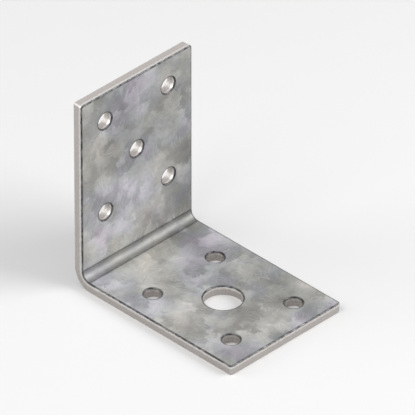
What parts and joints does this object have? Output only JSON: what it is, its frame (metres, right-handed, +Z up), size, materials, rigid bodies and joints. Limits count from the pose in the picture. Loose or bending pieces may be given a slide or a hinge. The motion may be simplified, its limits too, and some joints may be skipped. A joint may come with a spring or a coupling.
{
  "type": "angle bracket",
  "caption": "Folded steel angle bracket with equal legs, rows of fixing holes in both and a larger anchor hole in the base leg.",
  "frame": {"origin": "the heel at mid-width, where the outside planes of the two legs meet", "axes": "+X along the base leg to its free end, +Z up along the upright leg, Y along the fold"},
  "size_m": [0.06, 0.042, 0.06],
  "materials": {
    "galvanised_steel": "satin grey zinc with a mottled spangle"
  },
  "bodies": {
    "root": {"angle_bracket": "galvanised_steel"}
  },
  "joints": []
}
